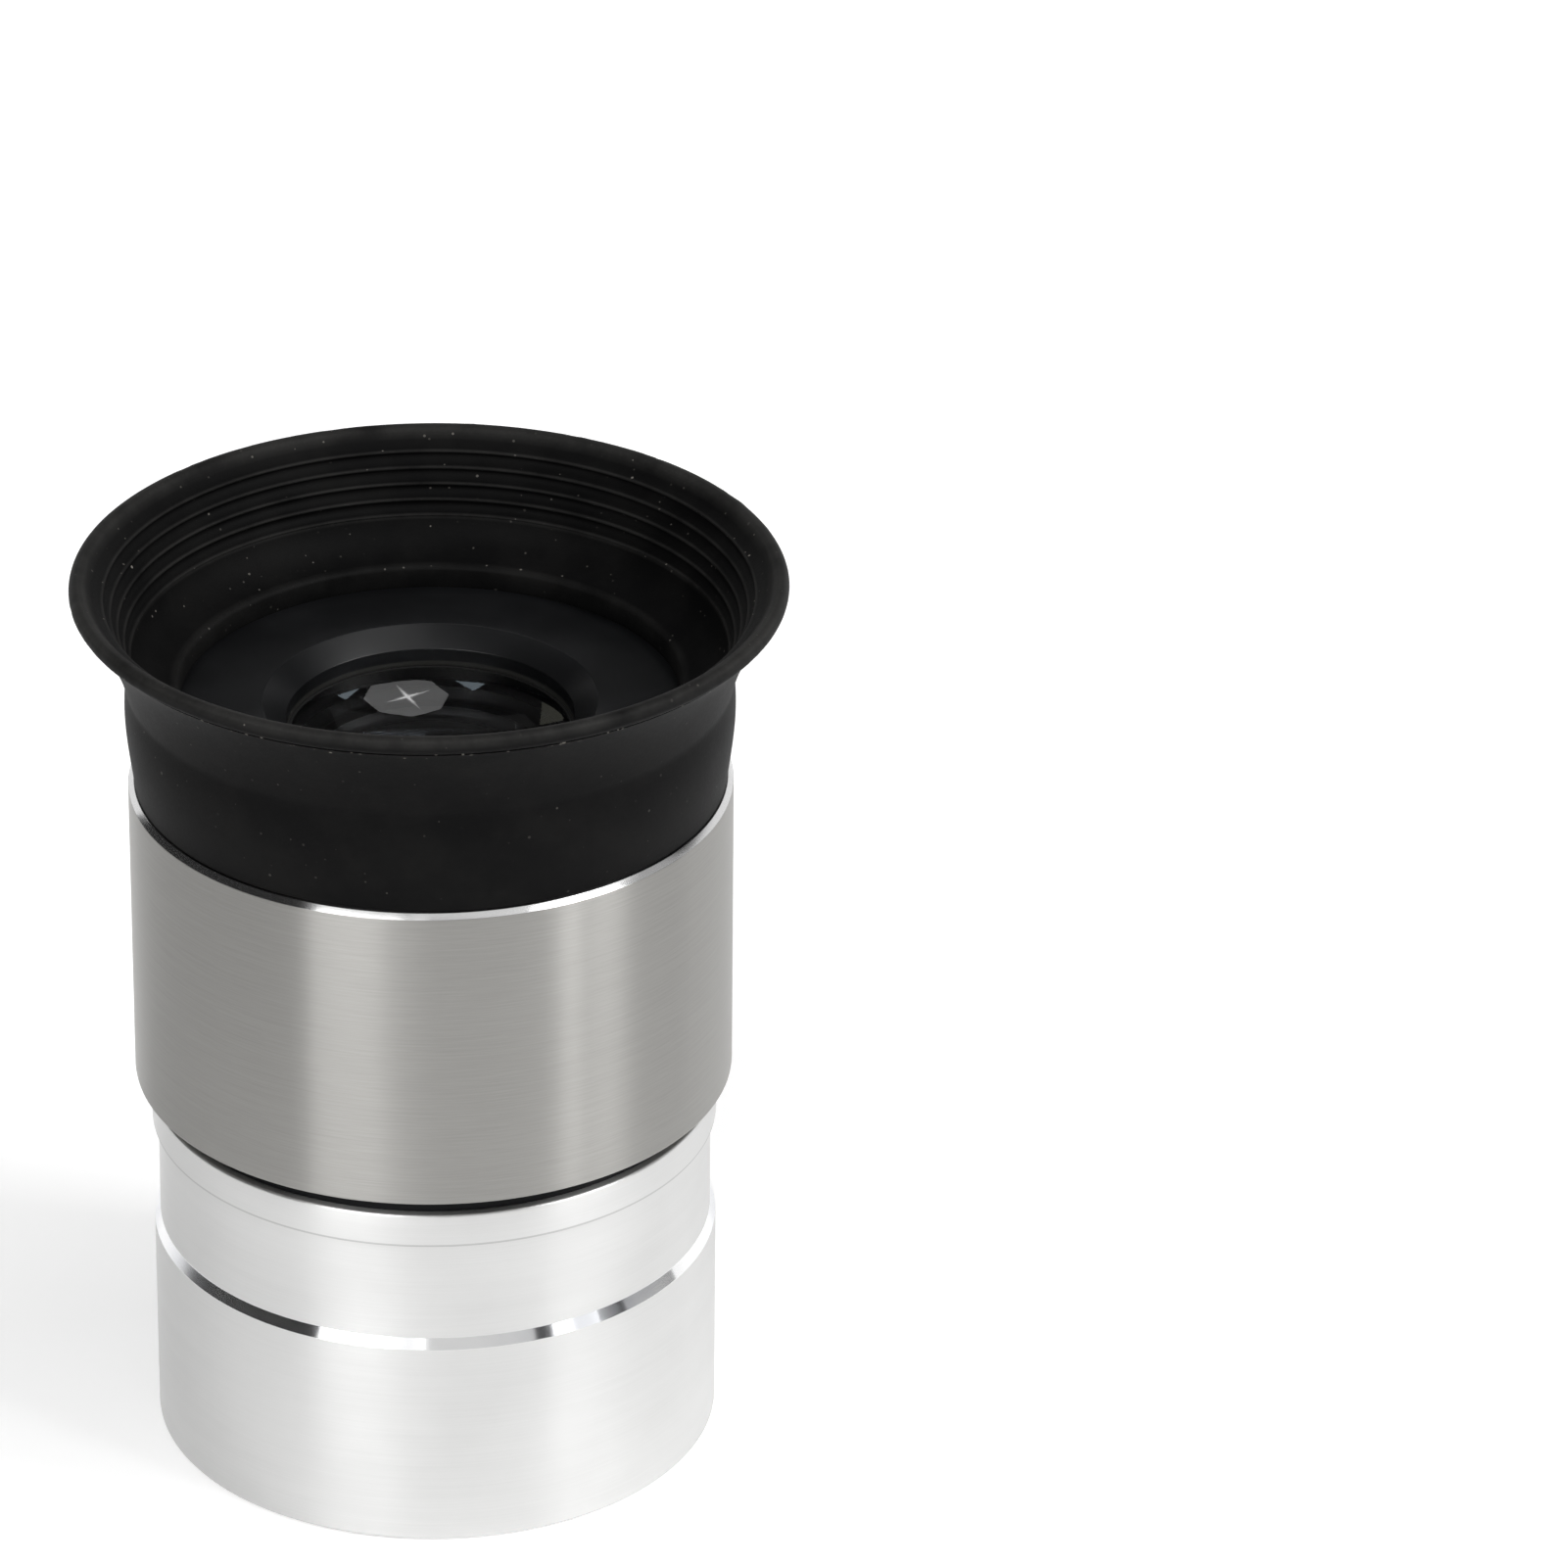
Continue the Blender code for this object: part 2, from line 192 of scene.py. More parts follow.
# Lens stack.
LENS_RADIUS = radius("eye_flint_lens")
EYE_LAND = 7.75
OUTER_CURVE = 52.0
CEMENT_CURVE = 30.0
CROWN_CURVE = 16.0
FLINT_EDGE = 2.8
CROWN_EDGE = 0.8
LENS_BEVEL = 0.12
CEMENT_GAP = 0.3

# Rubber eyecup.
CUP_FOOT_RADIUS = 16.4
CUP_FOOT_BREAK = 0.1
CUP_BULGE_RADIUS = 16.84
CUP_BULGE_HEIGHT = 44.6
CUP_CREASE_RADIUS = 16.77
FOLD_HEIGHT = 46.2
CUP_LIP_RADIUS = 13.82
CUP_LIP_ROUND = 0.3
CUP_LIP_CENTRE = (14.12, 45.65)
RIM_CENTRE = (19.22, 51.75)
RIM_ROUND = 0.5
RIM_ARC = (-98, 140)
UNDER_RIM_HEIGHTS = (50.85, 51.20)
UNDER_RIM_RADII = (18.8, 19.0)
FLARE_END = (19.27, 51.13)
RIB_COUNT = 5
RIB_FIRST = (17.85, 51.17)
RIB_LAST = (16.40, 47.88)
RIB_SAG = 0.08
RIB_ROUND = 0.08
RIB_ARC = (100, 250)

# Pulls that bend the curves of the eyecup's section, as (outward, upward) from each curve's end.
FOOT_PULL = (0.15, 1.3)
BULGE_PULL = (0.0, -1.5)
SHOULDER_PULL = (0.0, 0.7)
FOLD_PULL = (0.0, -0.4)
CREASE_PULL = (0.44, 2.0)
RIM_PULL = (-1.2, -1.2)
HOLLOW_TOP_PULL = (0.30, -0.12)
HOLLOW_FOOT_PULL = (0.40, 0.10)
BEAD_PULL = (-0.25, -0.35)
FLOOR_PULL = (-0.3, -0.9)
LIP_PULL = (1.3, 0.1)

# Painted highlights on the rubber's rim, rib crests and inner lip, and wear of its rim, in millimetres, apart
# from shares of highlight and lift and the nicks' widths in radians.
RIM_HIGHLIGHT_HEIGHTS = (51.60, 52.10)
RIB_HIGHLIGHT_SHARE = 0.65
LIP_HIGHLIGHT_SHARE = 0.3
HIGHLIGHT_REACH = 1.1
WORN_CENTRE = (RIM_CENTRE[0] + 0.1, RIM_CENTRE[1])
WORN_REACH = 0.6
WORN_LIFT = 0.6
RIM_SEED = 7
RIM_NICKS = 46
NICK_WIDTHS = (0.010, 0.035)
NICK_DEPTHS = (-0.10, 0.06)
RIM_WAVES = 6
WAVE_COUNTS = (2, 9)
WAVE_SIZES = (0.005, 0.02)


class Wire:
    """A value on a node's output socket. Arithmetic on it adds Math nodes to the same material."""

    def __init__(self, finish, socket):
        self.finish = finish
        self.socket = socket

    def beside(self, output):
        """Another output of the same node."""
        return Wire(self.finish, self.socket.node.outputs[output])

    def math(self, operation, first, second):
        return self.finish.node("ShaderNodeMath", {"operation": operation}, {0: first, 1: second})

    def __add__(self, other):
        return self.math("ADD", self, other)

    def __sub__(self, other):
        return self.math("SUBTRACT", self, other)

    def __rsub__(self, other):
        return self.math("SUBTRACT", other, self)

    def __mul__(self, other):
        return self.math("MULTIPLY", self, other)

    def __truediv__(self, other):
        return self.math("DIVIDE", self, other)

    def __pow__(self, other):
        return self.math("POWER", self, other)

    __radd__ = __add__
    __rmul__ = __mul__

    def rise(self, low, high):
        """0 below low, 1 above high, and a smooth step between them."""
        settings = {"interpolation_type": "SMOOTHSTEP", "clamp": True}
        return self.finish.node("ShaderNodeMapRange", settings, {0: self, 1: low, 2: high})

    def band(self, low, high, soft):
        """1 between low and high with soft shoulders, and 0 outside."""
        return self.rise(low - soft, low + soft) * (1 - self.rise(high - soft, high + soft))

    def contrast(self):
        """Noise spread over the whole range from 0 to 1."""
        return self.rise(0.3, 0.7)

    def capped(self):
        """The value held between 0 and 1."""
        return self.finish.node("ShaderNodeClamp", {}, {0: self})


class Finish:
    """A material, or the studio's surroundings, being put together from nodes."""

    def __init__(self, name, kind="Material"):
        library = bpy.data.worlds if kind == "World" else bpy.data.materials
        self.material = library.new(name)
        self.material.use_nodes = True
        self.tree = self.material.node_tree
        self.tree.nodes.clear()
        self.exit = self.tree.nodes.new("ShaderNodeOutput" + kind)

    def node(self, kind, settings=None, sockets=None, output=0):
        """Add a node: its settings are set first, then the values or links of its sockets."""
        node = self.tree.nodes.new(kind)
        for key, value in (settings or {}).items():
            setattr(node, key, value)
        for key, value in (sockets or {}).items():
            if isinstance(value, Wire):
                self.tree.links.new(value.socket, node.inputs[key])
            else:
                node.inputs[key].default_value = value
        return Wire(self, node.outputs[output])

    def surface(self, shader):
        self.tree.links.new(shader.socket, self.exit.inputs["Surface"])
        return self.material

    def place(self):
        """Object coordinates in metres, as a vector."""
        return self.node("ShaderNodeTexCoord", output="Object")

    def split(self, vector):
        """The three parts of a vector."""
        first = self.node("ShaderNodeSeparateXYZ", {}, {0: vector})
        return [first.beside(part) for part in range(3)]

    def stretched(self, vector, scale):
        return self.node("ShaderNodeVectorMath", {"operation": "MULTIPLY"}, {0: vector, 1: scale})

    def noise(self, vector, scale, detail=2.0, rough=0.5):
        sockets = {"Vector": vector, "Scale": scale, "Detail": detail, "Roughness": rough}
        return self.node("ShaderNodeTexNoise", {}, sockets)

    def from_axis(self):
        """Distance from the optical axis, in metres."""
        x, y = self.split(self.place())[:2]
        return (x * x + y * y) ** 0.5

    def height(self):
        """Height above the table, in metres."""
        return self.split(self.place())[2]

    def blend_colours(self, share, first, second):
        """First colour at share 0 and second at share 1."""
        sockets = {0: share, 6: first, 7: second}
        return self.node("ShaderNodeMix", {"data_type": "RGBA"}, sockets, output=2)

    def bump(self, height, depth, strength=1.0):
        """Relief of a given depth in metres, from a height between 0 and 1."""
        return self.node("ShaderNodeBump", {}, {"Strength": strength, "Distance": depth, "Height": height})

    def principled(self, sockets):
        return self.node("ShaderNodeBsdfPrincipled", {}, sockets)

    def mix_shaders(self, share, first, second):
        """First shader at share 0 and second at share 1."""
        return self.node("ShaderNodeMixShader", {}, {0: share, 1: first, 2: second})

    def looked_at(self):
        """1 for rays from the camera and for rays that metal and glass send on, else 0."""
        camera, glossy, through = [self.node("ShaderNodeLightPath", output=ray) for ray in SHARP_RAYS]
        return (camera + glossy + through).capped()

    def glow(self, colour, level=1.0):
        return self.node("ShaderNodeEmission", {}, {"Color": colour, "Strength": level})

    def specks(self, scale, size, share):
        """Small round spots: 1 inside a spot, on a given share of the cells."""
        cells = {"Vector": self.place(), "Scale": scale}
        near = self.node("ShaderNodeTexVoronoi", {"feature": "F1"}, cells, output="Distance")
        pick = self.split(near.beside("Color"))
        wanted = size * (0.35 + 0.65 * pick[1])
        strength = pick[2] * pick[2] * pick[0].rise(1 - share, 1 - share + 0.001)
        return (1 - (near / wanted).rise(0.6, 1.0)) * strength


def grey(level):
    return (level, level, level, 1.0)


def satin_aluminium():
    """Bright turned barrel: fine lines round the axis, soft mottling, a polished chamfer, and a painted shade
    line under the collar.
    """
    finish = Finish("satin_aluminium")
    place = finish.place()
    z = finish.height()
    fine = finish.noise(finish.stretched(place, TURNED_LINES), 1.0, 3.0)
    broad = finish.noise(finish.stretched(place, TURNED_WAVES), 1.0, 2.0)
    cloud = finish.noise(place, 130.0, 3.0)
    polished = z.band(GROOVE_BOTTOM * MM, (GROOVE_BOTTOM + GROOVE_CHAMFER) * MM, FINISH_EDGE * MM)
    # Painted shade: a darker line under the collar's overhang.
    painted_collar_shade = z.band(COLLAR_SHADE_HEIGHTS[0] * MM, COLLAR_SHADE_HEIGHTS[1] * MM, soft=0.02 * MM)
    dark = (0.605, 0.605, 0.60, 1.0)
    light = (0.665, 0.665, 0.66, 1.0)
    dim_polish = (0.66, 0.67, 0.70, 1.0)
    bright_polish = grey(0.92)
    collar_shade_grey = grey(0.35)
    shade = 0.3 * fine + 0.2 * broad + 0.5 * cloud
    colour = finish.blend_colours(shade.contrast(), dark, light)
    polish = finish.blend_colours(cloud.contrast(), dim_polish, bright_polish)
    colour = finish.blend_colours(polished, colour, polish)
    colour = finish.blend_colours(painted_collar_shade * 0.6, colour, collar_shade_grey)
    rough = 0.36 + 0.10 * (fine - 0.5) + 0.06 * (cloud - 0.5)
    rough = rough * (1 - polished) + (0.07 + 0.12 * cloud) * polished
    relief = (0.7 * fine + 0.3 * broad) * (1 - polished)
    shader = finish.principled({
        "Base Color": colour, "Roughness": rough, "Metallic": 1.0,
        "Anisotropic": 0.85, "Anisotropic Rotation": 0.25,
        "Normal": finish.bump(relief, 0.0008 * MM),
    })
    return finish.surface(shader)


def brushed_metal():
    """Brushed sleeve: dense horizontal lines, a smear of light along the axis, a bright turned chamfer."""
    finish = Finish("brushed_metal")
    place = finish.place()
    hair = finish.noise(finish.stretched(place, BRUSHED_HAIRS), 1.0, 3.0, 0.6)
    line = finish.noise(finish.stretched(place, BRUSHED_LINES), 1.0, 2.0)
    cloud = finish.noise(place, 160.0, 3.0)
    chamfer_foot = SLEEVE_TOP - SLEEVE_CHAMFER
    chamfer = finish.height().rise(chamfer_foot * MM, (chamfer_foot + FINISH_EDGE) * MM)
    dark = (0.300, 0.295, 0.282, 1.0)
    light = (0.346, 0.340, 0.326, 1.0)
    bright = grey(0.68)
    shade = 0.5 * hair + 0.3 * line + 0.2 * cloud
    colour = finish.blend_colours(shade.contrast(), dark, light)
    colour = finish.blend_colours(chamfer, colour, bright)
    rough = 0.35 + 0.06 * (hair - 0.5) + 0.04 * (cloud - 0.5)
    rough = rough * (1 - chamfer) + 0.17 * chamfer
    relief = (0.8 * hair + 0.2 * line) * (1 - chamfer)
    shader = finish.principled({
        "Base Color": colour, "Roughness": rough, "Metallic": 1.0,
        "Anisotropic": 1.0, "Anisotropic Rotation": 0.25,
        "Normal": finish.bump(relief, 0.0005 * MM),
    })
    return finish.surface(shader)


def black_anodised(name, shine):
    """Black turned metal: satin, with fine turning rings, sparse dust, and a paler band on the seat round the
    eye lens.
    """
    finish = Finish(name)
    place = finish.place()
    r = finish.from_axis()
    z = finish.height()
    section = finish.node("ShaderNodeCombineXYZ", {}, {0: r, 1: z})
    rings = finish.noise(section, 9000.0, 2.0)
    cloud = finish.noise(place, 220.0, 3.0)
    dust = finish.specks(900.0, 0.10, 0.02)
    # A paler band on the lens seat, below the lip.
    inside_seat = 1 - r.rise(LENS_SEAT_RADII[0] * MM, LENS_SEAT_RADII[1] * MM)
    paler_seat_band = z.band(LENS_LIP * MM, LENS_SEAT_TOP * MM, FINISH_EDGE * MM) * inside_seat
    dark = (0.0046, 0.0048, 0.0053, 1.0)
    light = (0.0074, 0.0077, 0.0084, 1.0)
    dusty = grey(0.12)
    seat_band_grey = (0.024, 0.024, 0.022, 1.0)
    colour = finish.blend_colours(cloud.contrast(), dark, light)
    colour = finish.blend_colours(dust, colour, dusty)
    colour = finish.blend_colours(paler_seat_band, colour, seat_band_grey)
    rough = 0.31 + 0.06 * (rings - 0.5) + 0.06 * (cloud - 0.5)
    shader = finish.principled({
        "Base Color": colour, "Roughness": rough, "Specular IOR Level": shine,
        "Normal": finish.bump(rings, 0.002 * MM),
    })
    return finish.surface(shader)


def black_rubber():
    """Matte moulded rubber: fine grain, a painted highlight on the rim, rib crests and inner lip, stray dust,
    and chalky nicks under the rim.
    """
    finish = Finish("black_rubber")
    place = finish.place()
    r = finish.from_axis()
    z = finish.height()
    section = finish.node("ShaderNodeCombineXYZ", {}, {0: r, 1: z})
    grain = finish.noise(place, 5200.0, 3.0, 0.6)
    patch = finish.noise(place, 260.0, 4.0, 0.6)
    scuffs = finish.noise(section, 7000.0, 2.0)
    dust = finish.specks(620.0, 0.08, 0.3)
    lint = finish.specks(1500.0, 0.15, 0.9)
    chalk = finish.specks(2300.0, 0.34, 0.8)
    below_rim = z.band(UNDER_RIM_HEIGHTS[0] * MM, UNDER_RIM_HEIGHTS[1] * MM, soft=0.05 * MM)
    under_rim = below_rim * r.rise(UNDER_RIM_RADII[0] * MM, UNDER_RIM_RADII[1] * MM)
    # Painted highlight on the rim, rib crests and inner lip, broken up by noise.
    highlight_marks = finish.node("ShaderNodeAttribute", {"attribute_name": "painted_highlight"}, output="Fac")
    painted_highlight = highlight_marks * patch.rise(0.1, 0.7) * (0.35 + 0.6 * scuffs + 0.5 * grain)
    upward = finish.split(finish.node("ShaderNodeNewGeometry", output="Normal"))[2]
    settled = 0.3 + 0.7 * upward.rise(-0.1, 0.5)
    pale = settled * (dust * 0.8 + lint * 0.4) + chalk * under_rim
    dark = (0.0022, 0.0022, 0.0023, 1.0)
    worn = (0.0048, 0.0047, 0.0046, 1.0)
    highlight_grey = (0.026, 0.0255, 0.0245, 1.0)
    chalky = (0.34, 0.32, 0.29, 1.0)
    colour = finish.blend_colours(patch.rise(0.35, 0.75), dark, worn)
    colour = finish.blend_colours(painted_highlight, colour, highlight_grey)
    colour = finish.blend_colours(pale, colour, chalky)
    rough = 0.58 + 0.14 * (patch - 0.5) + 0.10 * (grain - 0.5)
    shader = finish.principled({
        "Base Color": colour, "Roughness": rough, "Specular IOR Level": 0.055,
        "Sheen Weight": 0.012, "Sheen Roughness": 0.35,
        "Normal": finish.bump(0.8 * grain + 0.2 * patch, 0.006 * MM),
    })
    return finish.surface(shader)


def coated_glass():
    """Clear lens glass with a ground rim outside its polished face."""
    finish = Finish("coated_glass")
    grain = finish.noise(finish.place(), 6000.0, 2.0)
    clear = finish.principled({
        "Base Color": (0.93, 0.96, 1.0, 1.0), "Roughness": 0.0, "IOR": 1.52, "Transmission Weight": 1.0,
    })
    ground_colour = finish.blend_colours(grain.contrast(), grey(0.013), grey(0.019))
    ground = finish.principled({"Base Color": ground_colour, "Roughness": 0.34, "Specular IOR Level": 0.3})
    edge = finish.from_axis().rise((EYE_LAND - FINISH_EDGE) * MM, (EYE_LAND + FINISH_EDGE) * MM)
    return finish.surface(finish.mix_shaders(edge, clear, ground))


def plain_floor():
    """Pale studio table with a faint glow of its own, that fades to plain white far from the object."""
    finish = Finish("studio_table")
    tooth = finish.noise(finish.place(), 900.0, 2.0)
    colour = finish.blend_colours(tooth, grey(0.955), grey(0.965))
    table = finish.principled({
        "Base Color": colour, "Roughness": 0.9, "Specular IOR Level": 0.0,
        "Emission Color": grey(1.0), "Emission Strength": TABLE_GLOW,
    })
    far = finish.looked_at() * finish.from_axis().rise(TABLE_RADIUS, TABLE_RADIUS + TABLE_FADE)
    return finish.surface(finish.mix_shaders(far, table, finish.glow(grey(1.0))))


def light_cloth(name, tint, level):
    """Glowing front of a studio light."""
    finish = Finish(name)
    return finish.surface(finish.glow((*tint, 1.0), level))


def white_backdrop(level):
    """Wall that lights the object at a given level and looks white to the camera, and in metal and glass."""
    finish = Finish("backdrop")
    dim = finish.glow(grey(level))
    white = finish.glow(grey(1.0))
    return finish.surface(finish.mix_shaders(finish.looked_at(), dim, white))


def dim_room(level):
    """The room beyond the studio lights."""
    room = Finish("studio", "World")
    return room.surface(room.node("ShaderNodeBackground", {}, {"Color": grey(level)}))


def arc(centre, reach, start, end, steps):
    """Points of a round stretch, with the angles in degrees from the outward direction."""
    angles = [radians(start + (end - start) * step / steps) for step in range(steps + 1)]
    return [(centre[0] + reach * cos(a), centre[1] + reach * sin(a)) for a in angles]


def bezier(start, start_pull, end_pull, end, count):
    """Points of a cubic curve between two points of an outline, bent by a pull at each end."""
    a = Vector((*start, 0.0))
    b = Vector((*end, 0.0))
    knots = (a, a + Vector((*start_pull, 0.0)), b + Vector((*end_pull, 0.0)), b)
    return [(p.x, p.y) for p in interpolate_bezier(*knots, count)]


def rounded(corners, steps=4):
    """Closed outline from (radius, height, rounding) corners, each rounded by its own amount."""
    points = []
    for index, (r, z, cut) in enumerate(corners):
        corner = Vector((r, z))
        if cut <= 0:
            points.append((r, z))
            continue
        before = Vector(corners[index - 1][:2]) - corner
        after = Vector(corners[(index + 1) % len(corners)][:2]) - corner
        start = corner + before.normalized() * cut
        end = corner + after.normalized() * cut
        for step in range(steps + 1):
            t = step / steps
            points.append(tuple((1 - t) ** 2 * start + 2 * t * (1 - t) * corner + t * t * end))
    return points


def sag(curve, reach):
    """Depth of a spherical surface at a distance from its axis."""
    return curve - sqrt(curve * curve - reach * reach)


def spherical(vertex, curve, edge, side, steps=24):
    """Points of a lens surface from its vertex on the axis to its edge, curving up or down."""
    return [(edge * s / steps, vertex + side * sag(curve, edge * s / steps)) for s in range(steps + 1)]


def add_object(name, shape, material):
    """Turn a bmesh into an object of one material."""
    mesh = bpy.data.meshes.new(name)
    shape.to_mesh(mesh)
    shape.free()
    mesh.materials.append(material)
    obj = bpy.data.objects.new(name, mesh)
    bpy.context.collection.objects.link(obj)
    return obj


def put(name, shape, material):
    """Turn a bmesh into a piece of the eyepiece."""
    bmesh.ops.recalc_face_normals(shape, faces=shape.faces[:])
    piece = add_object(name, shape, material)
    piece.data.shade_smooth()
    piece.data.set_sharp_from_angle(angle=radians(SHARP_ANGLE))
    return piece


def stage(name, shape, material):
    """Turn a bmesh into a thing of the studio."""
    obj = add_object(name, shape, material)


def turned(outline, sides=SIDES):
    """Spin a closed outline of (radius, height) points in millimetres about the optical axis."""
    shape = bmesh.new()
    rings = []
    for r, z in outline:
        if r == 0.0:
            rings.append([shape.verts.new((0.0, 0.0, z * MM))])
            continue
        turns = [2 * pi * s / sides for s in range(sides)]
        rings.append([shape.verts.new((r * MM * cos(a), r * MM * sin(a), z * MM)) for a in turns])
    for ring, following in zip(rings, rings[1:] + rings[:1]):
        for s in range(sides):
            e = (s + 1) % sides
            if len(ring) > 1 and len(following) > 1:
                shape.faces.new((ring[s], ring[e], following[e], following[s]))
            elif len(ring) > 1:
                shape.faces.new((ring[s], ring[e], following[0]))
            elif len(following) > 1:
                shape.faces.new((ring[0], following[e], following[s]))
    return shape


def thread(root, crest, low, high, pitch):
    """Helical ridge of a screw thread from its root radius to its crest, fading out at both ends."""
    shape = bmesh.new()
    turns = (high - low) / pitch
    count = int(turns * THREAD_STEPS)
    sunk = root - THREAD_SINK * (1 if crest > root else -1)
    fade = THREAD_STEPS * THREAD_FADE
    foot = pitch * THREAD_FOOT
    flat = pitch * THREAD_FLAT
    sections = []
    for step in range(count + 1):
        angle = 2 * pi * turns * step / count
        height = low + (high - low) * step / count
        tip = root + (crest - root) * min(1.0, step / fade, (count - step) / fade)
        section = [(sunk, -foot), (tip, -flat), (tip, flat), (sunk, foot)]
        sections.append([
            shape.verts.new((r * MM * cos(angle), r * MM * sin(angle), (height + dz) * MM))
            for r, dz in section
        ])
    for first, second in zip(sections, sections[1:]):
        for a in range(4):
            b = (a + 1) % 4
            shape.faces.new((first[a], first[b], second[b], second[a]))
    shape.faces.new(sections[0])
    shape.faces.new(sections[-1][::-1])
    return shape


def barrel_outline():
    return rounded([
        (NECK_BORE, NECK_TOP, 0.15),
        (NECK_CREST - NECK_LEAD[0], NECK_TOP, 0.2),
        (NECK_ROOT, NECK_TOP - NECK_LEAD[1], 0.0),
        (NECK_ROOT, SHOULDER, 0.0),
        (BARREL_RADIUS, SHOULDER, 0.16),
        (BARREL_RADIUS, GROOVE_TOP, 0.06),
        (GROOVE_RADIUS, GROOVE_TOP, 0.05),
        (GROOVE_RADIUS, GROOVE_BOTTOM + GROOVE_CHAMFER, 0.03),
        (BARREL_RADIUS, GROOVE_BOTTOM, 0.03),
        (BARREL_RADIUS, 0.0, EDGE_BREAK),
        (FILTER_MAJOR, 0.0, 0.18),
        (FILTER_MAJOR, FILTER_DEPTH, 0.05),
        (BARREL_BORE, FILTER_DEPTH, 0.05),
        (BARREL_BORE, STOP_SHELF, 0.05),
        (NECK_BORE, STOP_SHELF, 0.1),
    ])


def sleeve_outline():
    return rounded([
        (SLEEVE_INNER, SLEEVE_TOP, 0.05),
        (SLEEVE_RADIUS - SLEEVE_CHAMFER, SLEEVE_TOP, 0.03),
        (SLEEVE_RADIUS, SLEEVE_TOP - SLEEVE_CHAMFER, 0.03),
        (SLEEVE_RADIUS, SLEEVE_BOTTOM, SLEEVE_BREAK),
        (THREAD_BORE, SLEEVE_BOTTOM, 0.1),
        (THREAD_BORE, SLEEVE_BOTTOM + SLEEVE_LIP, 0.0),
        (SLEEVE_INNER, SLEEVE_BOTTOM + SLEEVE_LIP, 0.0),
    ])


def seat_outline():
    low = SHOULDER + SEAM_GAP
    high = SLEEVE_BOTTOM - SEAM_GAP
    return rounded([
        (THREAD_BORE, high, 0.0),
        (SEAT_RADIUS, high, 0.2),
        (SEAT_RADIUS, low, 0.1),
        (THREAD_BORE, low, 0.0),
    ])


def housing_outline():
    return rounded([
        (EYE_CONE_RADIUS, HOUSING_TOP, 0.04),
        (HOUSING_HEAD, HOUSING_TOP, 0.2),
        (HOUSING_HEAD, SLEEVE_TOP - HEAD_STEP, 0.0),
        (HOUSING_RADIUS, SLEEVE_TOP - HEAD_STEP, 0.05),
        (HOUSING_RADIUS, HOUSING_BOTTOM, 0.1),
        (THREAD_BORE, HOUSING_BOTTOM, 0.15),
        (THREAD_BORE, THREAD_TOP, 0.0),
        (LENS_BORE, THREAD_TOP, 0.3),
        (LENS_BORE, LENS_LIP, 0.0),
        (EYE_HOLE, LENS_LIP, 0.05),
        (EYE_HOLE, HOUSING_TOP - EYE_CONE_DEPTH, 0.04),
    ])


def flint_outline(face, side):
    """Outer element of a doublet: a hollow polished face inside a flat ground land."""
    outer = spherical(face - side * sag(OUTER_CURVE, EYE_LAND), OUTER_CURVE, EYE_LAND, side)
    seat = face - side * FLINT_EDGE
    inner = spherical(seat + side * sag(CEMENT_CURVE, LENS_RADIUS), CEMENT_CURVE, LENS_RADIUS, -side)
    bevel = [(LENS_RADIUS - LENS_BEVEL, face), (LENS_RADIUS, face - side * LENS_BEVEL)]
    return outer + bevel + inner[::-1]


def crown_outline(seat, side):
    """Inner element of a doublet."""
    far = seat - side * CROWN_EDGE
    cemented = spherical(seat + side * sag(CEMENT_CURVE, LENS_RADIUS), CEMENT_CURVE, LENS_RADIUS, -side)
    steep = spherical(far - side * sag(CROWN_CURVE, LENS_RADIUS), CROWN_CURVE, LENS_RADIUS, side)
    return cemented + steep[::-1]


def rib_centres():
    """Centres of the round beads inside the flare, from the rim down."""
    centres = []
    for index in range(RIB_COUNT):
        share = index / (RIB_COUNT - 1)
        r = RIB_FIRST[0] + share * (RIB_LAST[0] - RIB_FIRST[0]) - 4 * RIB_SAG * share * (1 - share)
        z = RIB_FIRST[1] + share * (RIB_LAST[1] - RIB_FIRST[1])
        centres.append((r + RIB_ROUND, z))
    return centres


def rib_points(start):
    """Ribs inside the flare, from the rim down: round beads with a hollow between each two."""
    points = [start]
    pull = BEAD_PULL
    for centre in rib_centres():
        bead = arc(centre, RIB_ROUND, *RIB_ARC, 6)
        points += bezier(points[-1], pull, HOLLOW_FOOT_PULL, bead[0], 12)[1:] + bead[1:]
        pull = HOLLOW_TOP_PULL
    return points


def eyecup_outline():
    """Closed section of the rubber moulding, from its foot up the outside and back down inside."""
    foot = SLEEVE_TOP + SEAM_GAP
    grip = HOUSING_HEAD + SEAM_GAP
    floor_height = HOUSING_TOP + SEAM_GAP
    rim = arc(RIM_CENTRE, RIM_ROUND, *RIM_ARC, 24)
    ribs = rib_points(rim[-1])
    lip = arc(CUP_LIP_CENTRE, CUP_LIP_ROUND, 90, 180, 8)
    bulge = (CUP_BULGE_RADIUS, CUP_BULGE_HEIGHT)
    crease = (CUP_CREASE_RADIUS, FOLD_HEIGHT)
    band = bezier((CUP_FOOT_RADIUS, foot + CUP_FOOT_BREAK), FOOT_PULL, BULGE_PULL, bulge, 16)
    shoulder = bezier(bulge, SHOULDER_PULL, FOLD_PULL, crease, 8)
    flare = bezier(crease, CREASE_PULL, RIM_PULL, FLARE_END, 28)
    floor = bezier(ribs[-1], FLOOR_PULL, LIP_PULL, lip[0], 16)
    inside = [
        (CUP_LIP_RADIUS, floor_height),
        (grip, floor_height),
        (grip, foot),
        (CUP_FOOT_RADIUS - CUP_FOOT_BREAK, foot),
    ]
    return band + shoulder[1:] + flare[1:] + rim + ribs[1:] + floor[1:] + lip[1:] + inside


def section_spot(vert):
    """Where a vertex lies in the section: its distance from the axis and its height, in millimetres."""
    return hypot(vert.co.x, vert.co.y) / MM, vert.co.z / MM


